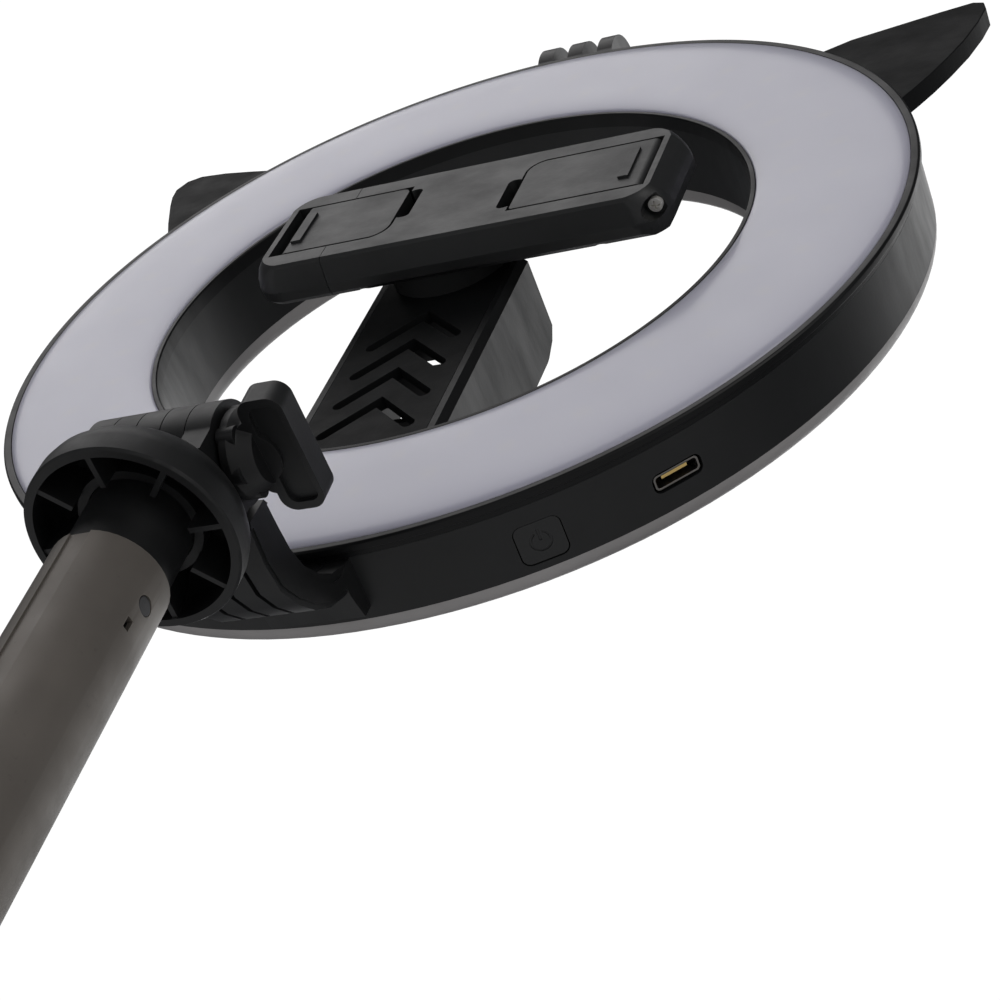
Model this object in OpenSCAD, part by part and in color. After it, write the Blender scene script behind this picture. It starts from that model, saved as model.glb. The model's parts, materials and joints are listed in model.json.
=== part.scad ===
// Small ring light on an aluminium tube: tilting ring head with an inner
// telephone clamp. Millimetres, +Z up, the diffuser faces -Y, right is +X.
// Origin: centre of the tube's lower end.

/* [Ring head] */
// Outside diameter of the ring's wall
ring_d = 163.2; // [160:0.4:164]
// Diameter of the opening in the ring
hole_d = 108; // [105:0.5:110]
// Depth of the ring from its front face to the back, at the opening
ring_depth = 19.1; // [19:0.1:20.5]
// Height the opal sheet is crowned above the front face
crown = 1.0; // [0.4:0.1:1.4]
// Number of light sources on each of the two circles
led_count = 36; // [24:2:40]
// Height of the upright ring's centre above the tube's lower end
ring_z = 375; // [300:1:420]

/* [Stand joint] */
// Distance from the tube's axis back to the ring's front face
face_y = 27.7; // [27.4:0.1:28.2]
// Distance from the ring's centre down to the tilt axis
tilt_drop = 99; // [98.5:0.1:99.5]
// Angle the ring leans back at rest
lean = 3; // [0:0.5:5]
// Outside radius of the tube
tube_r = 8.2; // [8:0.1:8.3]
// Wall thickness of the tube
tube_wall = 0.85; // [0.85:0.05:1.1]
// Radius of the tilt bolt
bolt_r = 2.45; // [2.0:0.05:2.45]
// Running clearance around bolts and pins
run_gap = 0.06; // [0.04:0.01:0.09]

/* [Telephone clamp] */
// Height of the clamp body
clamp_h = 26.8; // [26.4:0.1:28]
// Right end of the clamp body, from the swivel axis
clamp_x1 = 44.6; // [44.2:0.1:46]
// Left end of the sliding half, from the swivel axis
clamp_x0 = -32.3; // [-33.5:0.1:-32]
// Height of the swivel axis above the ring's centre
clamp_z = 3.3; // [3:0.1:3.6]

/* [Hidden] */

ring_r = ring_d / 2;
hole_r = hole_d / 2;
mid_r = (ring_r + hole_r) / 2;    // middle radius of the ring
tilt_z = ring_z - tilt_drop;      // height of the tilt axis
overlap = 0.01;                   // keeps joined solids from merely touching

// Screw pairs in the ring's frame: [distance to each side, depth]
hook_screw = [4.1, 5.4];
arm_screw = [6, 13];
mount_screw = [5, 9.5];

// ---------- frames ----------
// the tilt axis
module at_tilt() translate([0, 0, tilt_z]) children();
// the ring's own frame: X right, Y depth behind the front face, Z up
module at_ring()
  at_tilt() rotate([-lean, 0, 0]) translate([0, face_y, tilt_drop]) children();
// a clock position, degrees from six o'clock towards +X; outward is local -Z
module at_clock(clock) rotate([0, -clock, 0]) children();
// a place on the ring's outside wall; inward is the distance in from the wall
module at_rim(clock, depth, inward)
  at_ring() at_clock(clock) translate([0, depth, inward - ring_r]) children();
// both places of a screw pair
module at_pair(spot, z)
  at_ring() for (side = [-1, 1]) translate([side * spot[0], spot[1], z]) children();
// turns local +Z to +Y, starting at depth y
module along_y(y) translate([0, y, 0]) rotate([-90, 0, 0]) children();

// ---------- shapes ----------
// section [radius, depth] revolved about the ring's axis
module revolve() at_ring() rotate([-90, 0, 0]) rotate_extrude($fn = 180) children();
// outline [x, z] extruded between two depths
module extrude_y(y0, y1)
  translate([0, y1, 0]) rotate([90, 0, 0]) linear_extrude(y1 - y0) children();
// outline [y, z] extruded between two X values
module extrude_x(x0, x1)
  translate([x0, 0, 0]) rotate([90, 0, 90]) linear_extrude(x1 - x0) children();
// box centred in X only
module block(size) translate([-size[0] / 2, 0, 0]) cube(size);
// cylinder between two X values
module cyl_x(x0, x1, y, z, r)
  translate([x0, y, z]) rotate([0, 90, 0]) cylinder(r = r, h = x1 - x0, $fn = 64);
module tilt_cyl(x0, x1, r) cyl_x(x0, x1, 0, tilt_z, r);

// centred rectangle with round corners
module rounded_rect(w, h, r) {
  square([w - 2 * r, h], center = true);
  square([w, h - 2 * r], center = true);
  for (i = [-1, 1], j = [-1, 1])
    translate([i * (w / 2 - r), j * (h / 2 - r)]) circle(r, $fn = 48);
}

// upward chevron with round ends
module chevron(half_w, drop, stroke) {
  limb = norm([half_w, drop]);
  across = stroke / 2 * [drop, half_w] / limb;
  peak = stroke / 2 * limb / half_w;
  polygon([[0, peak],
           [half_w + across[0], -drop + across[1]],
           [half_w - across[0], -drop - across[1]],
           [0, -peak],
           [-half_w + across[0], -drop - across[1]],
           [-half_w - across[0], -drop + across[1]]]);
  for (side = [-1, 1])
    translate([side * half_w, -drop]) circle(stroke / 2 - 0.002, $fn = 32);
}

// cross-head screw along +Z; steps are [start z, radius, length, $fn]
module screw(steps, slot_z, slot) {
  difference() {
    union() for (s = steps)
      translate([0, 0, s[0]]) cylinder(r = s[1], h = s[2], $fn = s[3]);
    translate([0, 0, slot_z]) for (a = [0, 90]) rotate(a) cube(slot, center = true);
  }
}

// points of an arc in ten steps
function arc(centre, r, a0, a1) =
  [for (i = [0:10]) let (a = a0 + (a1 - a0) * i / 10) centre + r * [cos(a), sin(a)]];

// closed clockwise outline moved inwards at each corner
function inset(outline, distance) =
  [for (i = [0:len(outline) - 1])
    let (n = len(outline),
         before = outline[(i + n - 1) % n],
         here = outline[i],
         after = outline[(i + 1) % n],
         along = (here - before) / norm(here - before) + (after - here) / norm(after - here))
    here + distance * [along[1], -along[0]] / norm(along)];

// ---------- ring head ----------
wall = 1.6;                     // thickness of both round walls
wall_front = 2.7;               // front of the walls, against the bezels
ledge = 1.7;                    // front of the bezels' ledges, under the diffuser
web_front = 8.8;
web_back = 10.0;
hole_seam = ring_depth - 3.5;   // seam with the back cover, at the opening
rim_seam = ring_depth - 5.3;    // seam with the back cover, outside
cover_back = ring_depth - 0.8;  // cover's back face at the screws
usb_clock = 40.5;
usb_depth = 8.75;
button_clock = 24.9;
button_depth = 9.2;
board_clock = 33;
board_w = 34;
led_r = 61.5;                   // inner circle of light sources
led_pitch = 8;                  // distance between the two circles

module at_cover_screws()
  at_ring() for (clock = [0:60:300]) at_clock(clock) translate([0, 0, -mid_r]) children();

module rear_housing() {
  color([0.045, 0.047, 0.05]) difference() {
    union() {
      revolve() polygon([
        [hole_r, wall_front], [hole_r + wall, wall_front],
        [hole_r + wall, web_front], [ring_r - wall, web_front],
        [ring_r - wall, wall_front], [ring_r, wall_front],
        [ring_r, rim_seam], [ring_r - wall, rim_seam],
        [ring_r - wall, web_back], [hole_r + wall, web_back],
        [hole_r + wall, hole_seam], [hole_r, hole_seam]]);
      at_cover_screws() along_y(web_back - overlap)
        cylinder(r = 2.9, h = cover_back - 2.05 - web_back + overlap, $fn = 40);
    }
    at_cover_screws() along_y(web_back + 1) cylinder(r = 1.15, h = 12, $fn = 32);
    // charging port and button window
    at_rim(usb_clock, usb_depth, -2) linear_extrude(5) rounded_rect(8.3, 3.3, 1.2);
    at_rim(button_clock, button_depth, -2) linear_extrude(5) rounded_rect(7.5, 6.9, 1.5);
    // window for the parts on the board
    intersection() {
      at_rim(board_clock, 8, 0) block([board_w + 0.4, 2.5, 11.6]);
      revolve() square([ring_r - 1.5, 30]);
    }
    // screw holes for the hook, the arm and the top mount
    at_pair(hook_screw, -ring_r - 1) cylinder(r = 1.1, h = 4, $fn = 32);
    at_pair(arm_screw, -hole_r - 3) cylinder(r = 1.1, h = 6, $fn = 32);
    at_pair(mount_screw, ring_r - 3) cylinder(r = 1.1, h = 5, $fn = 32);
  }
}

module back_cover() {
  rim_round = 3.8;
  hole_round = 2.0;
  color([0.60, 0.59, 0.585]) difference() {
    revolve() polygon(concat(
      arc([ring_r - rim_round, rim_seam], rim_round, 0, 86),
      arc([hole_r + hole_round, ring_depth - hole_round], hole_round, 86, 180),
      [[hole_r, hole_seam], [hole_r + wall, hole_seam], [hole_r + wall, ring_depth - 1.8],
       [ring_r - 3.4, rim_seam + 1.95], [ring_r - wall, rim_seam + 0.7],
       [ring_r - wall, rim_seam]]));
    // countersinks and screw holes
    at_cover_screws() {
      along_y(cover_back - 1.2) cylinder(r = 2.4, h = 3.2, $fn = 40);
      along_y(cover_back - 4) cylinder(r = 1.3, h = 4, $fn = 32);
    }
  }
}

// bezel sections: [radius from the ring's wall or opening, depth]
module outer_bezel() {
  color([0.03, 0.032, 0.034]) revolve() translate([ring_r, 0]) polygon([
    [-0.7, 0.1], [0.4, 0], [0.8, 0.35], [0.8, 1.3], [0.6, 1.5], [0, 1.5],
    [0, wall_front], [-3.8, wall_front], [-3.8, ledge], [-0.7, ledge]]);
}

module inner_bezel() {
  color([0.03, 0.032, 0.034]) revolve() translate([hole_r, 0]) polygon([
    [-0.2, 0.3], [0, 0], [0.7, 0.1], [0.7, ledge],
    [3.4, ledge], [3.4, wall_front], [-0.2, wall_front]]);
}

// crowned front, with its points closer together near both edges
module diffuser() {
  inner = hole_r + 0.75;
  outer = ring_r - 0.75;
  edge = 0.35;      // depth of the front at both edges
  steps = 36;
  color([0.80, 0.79, 0.85]) revolve() polygon(concat(
    [for (i = [0:steps])
      let (t = (1 - cos(180 * i / steps)) / 2, off_centre = abs(2 * t - 1))
      [inner + (outer - inner) * t,
       edge - (crown + edge) * pow(1 - pow(off_centre, 3.2), 1 / 2.4)]],
    [[outer, ledge], [inner, ledge]]));
}

module led_board() {
  front = web_front - 1.2;
  color([0.93, 0.93, 0.91]) revolve()
    polygon([[57, front], [74, front], [74, web_front], [57, web_front]]);
}

// two circles, the outer one turned by half a step
module leds() {
  size = [2.8, 0.8, 3.5];
  color([0.98, 0.90, 0.55]) at_ring() for (k = [0:led_count - 1], j = [0, 1])
    at_clock((k + j / 2) * 360 / led_count)
      translate([0, web_front - 2.0, -(led_r + led_pitch * j) - size[2] / 2]) block(size);
}

module control_board() {
  thickness = 1;
  // parts on the board's back: [left x, lower z, size]
  parts = [[-4, -70, [5, 1.2, 5]], [4, -72, [6, 2.0, 6]], [-13, -68, [1.6, 0.7, 0.9]],
           [-10, -68, [1.6, 0.7, 0.9]], [-7, -68, [1.6, 0.7, 0.9]]];
  color([0.05, 0.32, 0.16]) difference() {
    union() {
      at_rim(board_clock, web_back, 4) block([board_w, thickness, 15]);
      at_ring() at_clock(board_clock) for (p = parts)
        translate([p[0], web_back + thickness, p[1]]) cube(p[2]);
    }
    // notch that lets the button's flange travel
    at_rim(button_clock, web_back - 0.5, -4) block([10, 3, 7.85]);
  }
}

module usb_shell() {
  color([0.78, 0.78, 0.80]) difference() {
    at_rim(usb_clock, usb_depth, 0.35) linear_extrude(5) rounded_rect(7.6, 2.5, 0.7);
    at_rim(usb_clock, usb_depth, 0.3) linear_extrude(4.6) rounded_rect(6.9, 1.85, 0.5);
  }
}

module usb_tongue() {
  color([0.75, 0.62, 0.30])
    at_rim(usb_clock, usb_depth - 0.4, 1.2) block([4.4, 0.55, 3.7]);
}

module tact_switch() {
  color([0.10, 0.10, 0.11]) {
    at_rim(button_clock, web_back - 2.6, 4.2) block([6, 2.6, 1.6]);
    at_rim(button_clock, web_back - 1.1, 3.75) cylinder(r = 0.95, h = 0.5, $fn = 32);
  }
}

// the cap's face follows the wall and carries a shallow power symbol
module power_button() {
  sink = 0.15;      // face below the ring's wall
  engraving = 0.2;
  color([0.05, 0.052, 0.055]) difference() {
    union() {
      intersection() {
        at_rim(button_clock, button_depth, -1) linear_extrude(4)
          rounded_rect(7.2, 6.6, 1.35);
        revolve() square([ring_r - sink, 30]);
      }
      // flange
      at_rim(button_clock, button_depth, 2.4) linear_extrude(0.8)
        rounded_rect(8.6, 7.8, 1.5);
    }
    difference() {
      at_rim(button_clock, button_depth, -1) {
        // open circle
        difference() {
          cylinder(r = 1.75, h = 3, $fn = 48);
          translate([0, 0, -1]) cylinder(r = 1.35, h = 5, $fn = 48);
          translate([0, -3, -1]) block([1.2, 3, 5]);
        }
        // bar
        translate([0, -2.1, 0]) block([0.4, 2.0, 3]);
      }
      revolve() square([ring_r - sink - engraving, 30]);
    }
  }
}

module battery() {
  color([0.30, 0.42, 0.62]) at_ring() translate([-73.5, web_back, -22]) cube([16, 5.6, 44]);
}

module cover_screws() {
  start = web_back + 2;
  color([0.70, 0.70, 0.72]) at_cover_screws() along_y(0)
    screw([[start, 1.1, cover_back - 1.15 - start, 32], [cover_back - 1.2, 2.2, 1.0, 40]],
          cover_back, [2.4, 0.5, 1.6]);
}

// ---------- side fins and top mount ----------
// fin outlines [x, z] in the ring's frame; the left one is mirrored in place
right_fin_outline = [
  [50, 62.6], [54.3, 66.1], [60.2, 69.2], [69, 71.3], [76.5, 73.2], [82.4, 74.4],
  [84.5, 73.4], [85.2, 70.6], [84.4, 65.2], [82.7, 58.6], [80.3, 52.2], [77.9, 46.8],
  [75.6, 42.4], [73.4, 38.6], [69, 33], [60, 40], [48, 54]];
left_fin_outline = [
  [50, 62.6], [56, 64.6], [62, 66.2], [67, 67.7], [73.3, 69.4], [79.4, 70.3],
  [82.4, 69.2], [83.9, 66.2], [83.5, 62.8], [82.2, 58.6], [79.2, 50.4], [76.6, 44.1],
  [73.6, 38.4], [69, 33], [60, 40], [48, 54]];

// ear-shaped tray: a flat face with a rim turned back along its free edges
module fin(outline) {
  difference() {
    at_ring() extrude_y(3.4, 7.0) polygon(outline);
    at_ring() extrude_y(5.0, 7.5) polygon(inset(outline, 1.5));
    revolve() translate([0, 2]) square([ring_r, 8]);
  }
}
module right_fin() { color([0.07, 0.07, 0.072]) fin(right_fin_outline); }
module left_fin() { color([0.07, 0.07, 0.072]) mirror([1, 0, 0]) fin(left_fin_outline); }

// three-finger accessory mount on top of the ring
module top_mount() {
  bore_y = mount_screw[1];
  bore_z = ring_r + 10.4;
  finger_w = 3.2;
  base_front = 2.8;
  base_depth = 12.4;
  base_z = ring_r - 3;
  color([0.06, 0.062, 0.065]) difference() {
    union() {
      at_ring() for (x = [-6.4, 0, 6.4]) {
        cyl_x(x - finger_w / 2, x + finger_w / 2, bore_y, bore_z, 7.5);
        translate([x, base_front, base_z])
          block([finger_w, base_depth, bore_z - ring_r + 0.5]);
      }
      at_ring() translate([0, base_front, base_z]) block([19.2, base_depth, 4.4]);
    }
    revolve() square([ring_r, 30]);
    at_ring() cyl_x(-12, 12, bore_y, bore_z, 2.55);
    at_pair(mount_screw, ring_r - 4) cylinder(r = 0.95, h = 5.0, $fn = 32);
  }
}

// ---------- hook between the ring and the tilt joint ----------
finger_r = 7.4;               // radius of the joint's fingers
finger_step = 4;              // between a hook finger and the next collar finger
bolt_hole_r = bolt_r + run_gap;

// hook outlines [depth, z] in the ring's frame
hook_core = [
  [-17, -100.2], [-11, -100.5], [-6.1, -99.7], [-2.1, -97.2], [1.3, -94.0], [3.7, -90.4],
  [5.2, -85.8], [5.9, -81.2], [5.9, -78], [4.1, -78], [3.9, -83.0], [2.6, -87.4],
  [0.0, -90.9], [-3.6, -93.6], [-8.0, -95.0], [-12.5, -95.4], [-17, -95.6]];
hook_rib = [
  [-17, -101.0], [-11, -101.3], [-5.8, -100.5], [-1.6, -98.0], [2.0, -94.6], [4.5, -90.8],
  [6.1, -86.0], [6.8, -81.4], [6.8, -78], [2.9, -78], [2.8, -82.6], [1.5, -86.6],
  [-0.9, -89.8], [-4.2, -92.4], [-8.2, -93.8], [-12.5, -94.2], [-17, -94.4]];
hook_saddle = [
  [3.5, -85.0], [6.8, -85.0], [8.5, -84.6], [11.8, -83.6], [11.8, -78], [2.9, -78],
  [2.9, -83.2]];
hook_nose = [[-17.6, -100.4], [-16.6, -101.0], [-16.6, -94.4], [-17.6, -95.0]];

module hook_bracket() {
  color([0.05, 0.052, 0.055]) difference() {
    union() {
      at_ring() {
        for (outline = [hook_core, hook_saddle, hook_nose])
          extrude_x(-7.9, 7.9) polygon(outline);
        for (x = [-6, -2, 2, 6]) extrude_x(x - 1.65, x + 1.65) polygon(hook_rib);
      }
      // two fingers
      for (x = [-finger_step, finger_step]) {
        tilt_cyl(x - 1.9, x + 1.9, finger_r);
        at_ring() translate([x, -face_y, -tilt_drop - 1.8]) block([3.7, 11.9, 5.9]);
      }
    }
    // room for the ring's wall and the outer bezel
    revolve() translate([0, 1.5]) square([ring_r, 21.2]);
    revolve() translate([0, -1]) square([ring_r + 0.85, 2.55]);
    tilt_cyl(-12, 12, bolt_hole_r);
    at_pair(hook_screw, -ring_r - 2.3) cylinder(r = 1.0, h = 5, $fn = 32);
  }
}

module hook_screws() {
  color([0.70, 0.70, 0.72]) at_pair(hook_screw, -ring_r)
    screw([[-2.1, 0.95, 4.3, 32], [1.85, 1.9, 1.3, 40]], 3.2, [2.2, 0.5, 1.0]);
}

// ---------- arm inside the ring ----------
arm_front = 1.0;
arm_plate = 2.2;      // thickness of the front plate
arm_inner_w = 23.6;   // width inside the frame's side walls, with overlap
arm_low = -60;        // lower end before trimming to the opening

// section of one side wall; side is -1 or 1
module arm_wall(side) {
  linear_extrude(100) polygon([
    [side * 11.7, arm_front], [side * 12.9, arm_front], [side * 14, arm_front + 1.1],
    [side * 14, ring_depth - 0.9], [side * 13.1, ring_depth], [side * 11.7, ring_depth]]);
}

// everything outside the ring's opening
module outside_opening() {
  revolve() translate([hole_r, wall_front]) square([60, 30]);
  revolve() translate([hole_r - 0.25, -5]) square([60, wall_front + 5.05]);
}

module arm_frame() {
  // side view [depth, z]
  side_view = [[0, arm_low], [0, 1.5], [15.0, 1.5], [16.8, -0.8], [18.0, -4.5],
               [18.8, -9.0], [ring_depth, -14], [ring_depth, arm_low]];
  strip_w = 2;
  foot_front = 3.4;
  color([0.055, 0.057, 0.06]) difference() {
    at_ring() {
      intersection() {
        union() {
          for (side = [-1, 1]) translate([0, 0, arm_low]) arm_wall(side);
          // top wall and two cross ribs
          translate([0, 6.8, -0.7]) block([arm_inner_w, 12, 2.2]);
          for (z = [-18, -34]) translate([0, 9, z]) block([arm_inner_w, 6, 1.4]);
          // strips behind the plate's edges
          for (x = [-arm_inner_w / 2, arm_inner_w / 2 - strip_w])
            translate([x, arm_front + arm_plate, -50]) cube([strip_w, 1.8, 42]);
        }
        extrude_x(-15, 15) polygon(side_view);
      }
      // curved foot against the opening
      difference() {
        translate([0, foot_front, -hole_r]) block([arm_inner_w, ring_depth - foot_front, 8]);
        along_y(0) cylinder(r = hole_r - 3.2, h = 40, $fn = 180);
      }
    }
    outside_opening();
    at_clamp() along_y(2) cylinder(r = 6, h = 4.7, $fn = 64);
    at_pair(arm_screw, -hole_r - 1) cylinder(r = 1.0, h = 3.8, $fn = 32);
  }
}

// round-topped plate with four chevron slots
module arm_front_plate() {
  plate_r = 11.6;
  color([0.065, 0.067, 0.07]) difference() {
    at_ring() extrude_y(arm_front, arm_front + arm_plate) difference() {
      union() {
        translate([-plate_r, arm_low]) square([2 * plate_r, clamp_z - arm_low]);
        translate([0, clamp_z]) circle(plate_r, $fn = 96);
      }
      for (k = [0:3]) translate([0, -13.9 - 8.8 * k])
        chevron(half_w = 7.6, drop = 7.9, stroke = 2.3);
      translate([0, clamp_z]) circle(swivel_r + run_gap, $fn = 48);
    }
    outside_opening();
  }
}

module arm_screws() {
  color([0.70, 0.70, 0.72]) at_pair(arm_screw, -hole_r)
    screw([[-1.8, 0.95, 4.4, 32], [-3.1, 1.9, 1.3, 40]], -3.1, [2.2, 0.5, 1.0]);
}

// ---------- telephone clamp ----------
// The clamp's frame is the ring's frame moved up to the swivel axis.
front_y = -11.0;      // clamp's front face
part_y = -6.3;        // parting between front and back
back_y = -3.6;        // clamp's back face
seam_x = -17.2;       // joint between the body and the sliding half
seam_gap = 0.06;      // from the joint to each half
half_h = clamp_h / 2;
pocket_depth = 3.3;   // depth of the jaw pockets
swivel_r = 2.0;       // swivel screw in the arm's plate
tongue_x = -27.1;     // left end of the sliding tongue
tongue_h = 15.8;
right_hinge_x = 39.2;
left_hinge_x = -25.4;
pin_r = 0.8;
hinge_inset = 1.4;    // hinge axis behind the front face
clamp_screw_spots = [[-11.5, 10.9], [-11.5, -10.9], [35.5, 10.9], [32, -10.9]];  // [x, z]

module at_clamp() at_ring() translate([0, 0, clamp_z]) children();
module at_clamp_screws()
  for (spot = clamp_screw_spots) translate([spot[0], 0, spot[1]]) children();
// end screw, from the clamp's lower side
module at_end_screw() translate([42.4, -7.8, -half_h]) children();

// the closed clamp's outside: rounded outline with all long edges bevelled
module clamp_blank() {
  front_bevel = front_y + 0.5;
  back_bevel = back_y - 0.9;
  intersection() {
    extrude_y(front_y, back_y) translate([(clamp_x0 + clamp_x1) / 2, 0])
      rounded_rect(clamp_x1 - clamp_x0, clamp_h, 6.5);
    extrude_x(clamp_x0 - 1, clamp_x1 + 1) polygon([
      [front_y, -half_h + 1.3], [front_y, half_h - 1.3], [front_bevel, half_h - 0.7],
      [part_y, half_h], [back_bevel, half_h - 0.15], [back_y, half_h - 1.0],
      [back_y, -half_h + 1.0], [back_bevel, -half_h + 0.15], [part_y, -half_h],
      [front_bevel, -half_h + 0.7]]);
    translate([0, 0, -half_h - 1]) linear_extrude(clamp_h + 2) polygon([
      [clamp_x0 + 2.6, front_y], [clamp_x1 - 2.6, front_y],
      [clamp_x1 - 1.2, front_y + 1.5], [clamp_x1 - 0.3, front_y + 3.2],
      [clamp_x1, part_y], [clamp_x1 - 0.15, back_bevel], [clamp_x1 - 1.0, back_y],
      [clamp_x0 + 1.0, back_y], [clamp_x0 + 0.15, back_bevel], [clamp_x0, part_y],
      [clamp_x0 + 0.3, front_y + 3.2], [clamp_x0 + 1.2, front_y + 1.5]]);
  }
}

// part of the blank between two X values and two depths
module clamp_slice(x0, x1, y0, y1) {
  intersection() {
    clamp_blank();
    translate([x0, y0, -half_h - 1]) cube([x1 - x0, y1 - y0, clamp_h + 2]);
  }
}

// pocket from the free end towards +X, with a rounded step in the upper
// corner and a finger notch at the free end
module pocket(length, step_r) {
  half = 8.45;
  difference() {
    translate([0, -half]) square([length, 2 * half]);
    translate([0, half - step_r]) difference() {
      translate([-1, 0]) square([step_r + 1, 5]);
      translate([step_r, 0]) circle(step_r, $fn = 64);
    }
  }
  translate([-1, -2.1]) rounded_rect(2.6, 9.8, 1.0);
}
module right_pocket()
  extrude_y(front_y - 1, front_y + pocket_depth) translate([16.4, 0]) pocket(24.5, 3.7);
module left_pocket()
  extrude_y(front_y - 1, front_y + pocket_depth)
    translate([-5.7, 0]) rotate(180) pocket(22.9, 3.9);

// vertical rod on a jaw's hinge axis
module hinge_rod(x, r, half_length)
  translate([x, front_y + hinge_inset, -half_length])
    cylinder(r = r, h = 2 * half_length, $fn = 32);

// channel for the springs and the tongue
module channel(y, depth)
  translate([seam_x, y, -tongue_h / 2 - 0.1]) cube([55.4, depth, tongue_h + 0.2]);

module end_screw_hole() {
  at_end_screw() translate([0, 0, -3]) {
    cylinder(r = 0.75, h = 12, $fn = 32);
    cylinder(r = 1.9, h = 7.0, $fn = 48);
  }
}

module clamp_front() {
  color([0.075, 0.077, 0.078]) at_clamp() difference() {
    clamp_slice(seam_x + seam_gap, seam_x + seam_gap + 70, front_y - 1, part_y);
    right_pocket();
    left_pocket();
    channel(part_y - 0.9, 2);
    hinge_rod(right_hinge_x, pin_r + 0.1, 10.4);
    at_clamp_screws() along_y(part_y - 1.9) cylinder(r = 0.9, h = 6, $fn = 32);
    end_screw_hole();
  }
}

// back half with the round swivel boss
module clamp_back() {
  color([0.05, 0.052, 0.054]) at_clamp() difference() {
    union() {
      clamp_slice(seam_x + seam_gap, seam_x + seam_gap + 70, part_y, part_y + 5);
      along_y(back_y - overlap) cylinder(r = 11, h = arm_front - 0.1 - back_y, $fn = 96);
    }
    channel(part_y - 1, 2.5);
    along_y(part_y) cylinder(r = 1.7, h = 12, $fn = 32);
    at_clamp_screws() along_y(part_y - 1) {
      cylinder(r = 1.0, h = 6, $fn = 32);
      translate([0, 0, 2.2]) cylinder(r = 1.75, h = 4, $fn = 40);
    }
    end_screw_hole();
  }
}

module clamp_screws() {
  color([0.16, 0.16, 0.17]) at_clamp() at_clamp_screws() along_y(part_y)
    screw([[-1.7, 0.85, 3.0, 32], [1.2, 1.6, 1.1, 40]], 2.3, [2.0, 0.45, 0.8]);
}

module clamp_end_screw() {
  color([0.80, 0.79, 0.76]) at_clamp() at_end_screw()
    screw([[3.9, 0.7, 4.9, 32], [2.6, 1.5, 1.4, 48]], 2.6, [2.0, 0.5, 1.5]);
}

module swivel_screw() {
  start = part_y + 1.6 - arm_front;
  color([0.72, 0.72, 0.74]) at_clamp() along_y(arm_front)
    screw([[start, 1.65, 0.05 - start, 40], [-0.1, swivel_r, 3.2, 48], [3.0, 3.7, 2.0, 48]],
          4.8, [3.6, 0.7, 1.8]);
}

module swivel_washer() {
  color([0.60, 0.60, 0.63]) at_clamp() along_y(arm_front + 2.3) difference() {
    cylinder(r = 4.6, h = 0.7, $fn = 64);
    translate([0, 0, -1]) cylinder(r = 2.1, h = 3, $fn = 48);
  }
}

// coil along X: ten stations a turn, each a five-sided ring of points
module coil(x0, x1, turns, coil_r, wire_r) {
  stations = turns * 10;
  sides = 5;
  points = [
    for (i = [0:stations])
      let (x = x0 + (x1 - x0) * i / stations, a = 36 * i)
      for (j = [0:sides - 1])
        let (b = 360 * j / sides, r = coil_r + wire_r * cos(b))
        [x + wire_r * sin(b), r * cos(a), r * sin(a)]];
  polyhedron(points, concat(
    [[for (j = [sides - 1:-1:0]) j]],
    [for (i = [0:stations - 1], j = [0:sides - 1])
      let (next = (j + 1) % sides)
      [i * sides + j, i * sides + next, (i + 1) * sides + next, (i + 1) * sides + j]],
    [[for (j = [0:sides - 1]) stations * sides + j]]), convexity = 10);
}

// extension springs between the sliding tongue and the body
module slide_springs() {
  color([0.65, 0.65, 0.68]) at_clamp() for (z = [-4.5, 4.5])
    translate([0, part_y + 0.35, z])
      coil(x0 = 13.3, x1 = 37.8, turns = 14, coil_r = 0.8, wire_r = 0.2);
}

module tongue_bar(length)
  translate([tongue_x, part_y + 0.1, -tongue_h / 2]) cube([length, 1.2, tongue_h]);

module clamp_slider() {
  color([0.075, 0.077, 0.078]) at_clamp() difference() {
    clamp_slice(-60, seam_x - seam_gap, front_y - 1, front_y + 19);
    left_pocket();
    hinge_rod(left_hinge_x, pin_r + 0.1, 10.4);
    tongue_bar(20);
  }
}

module slider_tongue() {
  color([0.06, 0.062, 0.064]) at_clamp() difference() {
    tongue_bar(13 - tongue_x);
    // lightening slots
    for (z = [-3.6, 3.6]) extrude_y(part_y - 1, part_y + 2)
      translate([-2, z]) rounded_rect(22, 3.2, 1.5);
  }
}

// jaw plate with its hinge end at the origin and its free end towards -X;
// top_r and low_r round the free corners, ridge_x is the ridge's distance out
module jaw(length, top_r, low_r, ridge_x) {
  half = 8;
  difference() {
    union() {
      intersection() {
        translate([-length, 0, -half]) cube([length, 2.8, 2 * half]);
        extrude_y(-1, 4) translate([-length, 0]) {
          translate([0, -half + low_r]) square([length + 2, 2 * half - top_r - low_r]);
          translate([top_r, 0]) square([length + 2 - top_r, half]);
          translate([low_r, -half]) square([length + 2 - low_r, half + 0.1]);
          translate([top_r, half - top_r]) circle(top_r, $fn = 48);
          translate([low_r, -half + low_r]) circle(low_r, $fn = 48);
        }
      }
      translate([0, hinge_inset, -half]) cylinder(r = 1.4, h = 2 * half, $fn = 48);
      // finger ridge
      translate([-ridge_x, -0.45, -4.8]) cube([1.9, 0.8, 9.8]);
    }
    translate([0, hinge_inset, -12]) cylinder(r = pin_r + run_gap, h = 24, $fn = 32);
  }
}

module right_jaw() {
  color([0.08, 0.082, 0.083]) at_clamp() translate([right_hinge_x, front_y, 0])
    jaw(length = 22.4, top_r = 3.2, low_r = 0.6, ridge_x = 3.6);
}

module left_jaw() {
  color([0.08, 0.082, 0.083]) at_clamp() translate([left_hinge_x, front_y, 0])
    mirror([1, 0, 0]) jaw(length = 19.2, top_r = 1.6, low_r = 3.4, ridge_x = 1.9);
}

module right_jaw_pin() {
  color([0.7, 0.7, 0.72]) at_clamp() hinge_rod(right_hinge_x, pin_r, 10.1);
}

module left_jaw_pin() {
  color([0.7, 0.7, 0.72]) at_clamp() hinge_rod(left_hinge_x, pin_r, 10.1);
}

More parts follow.
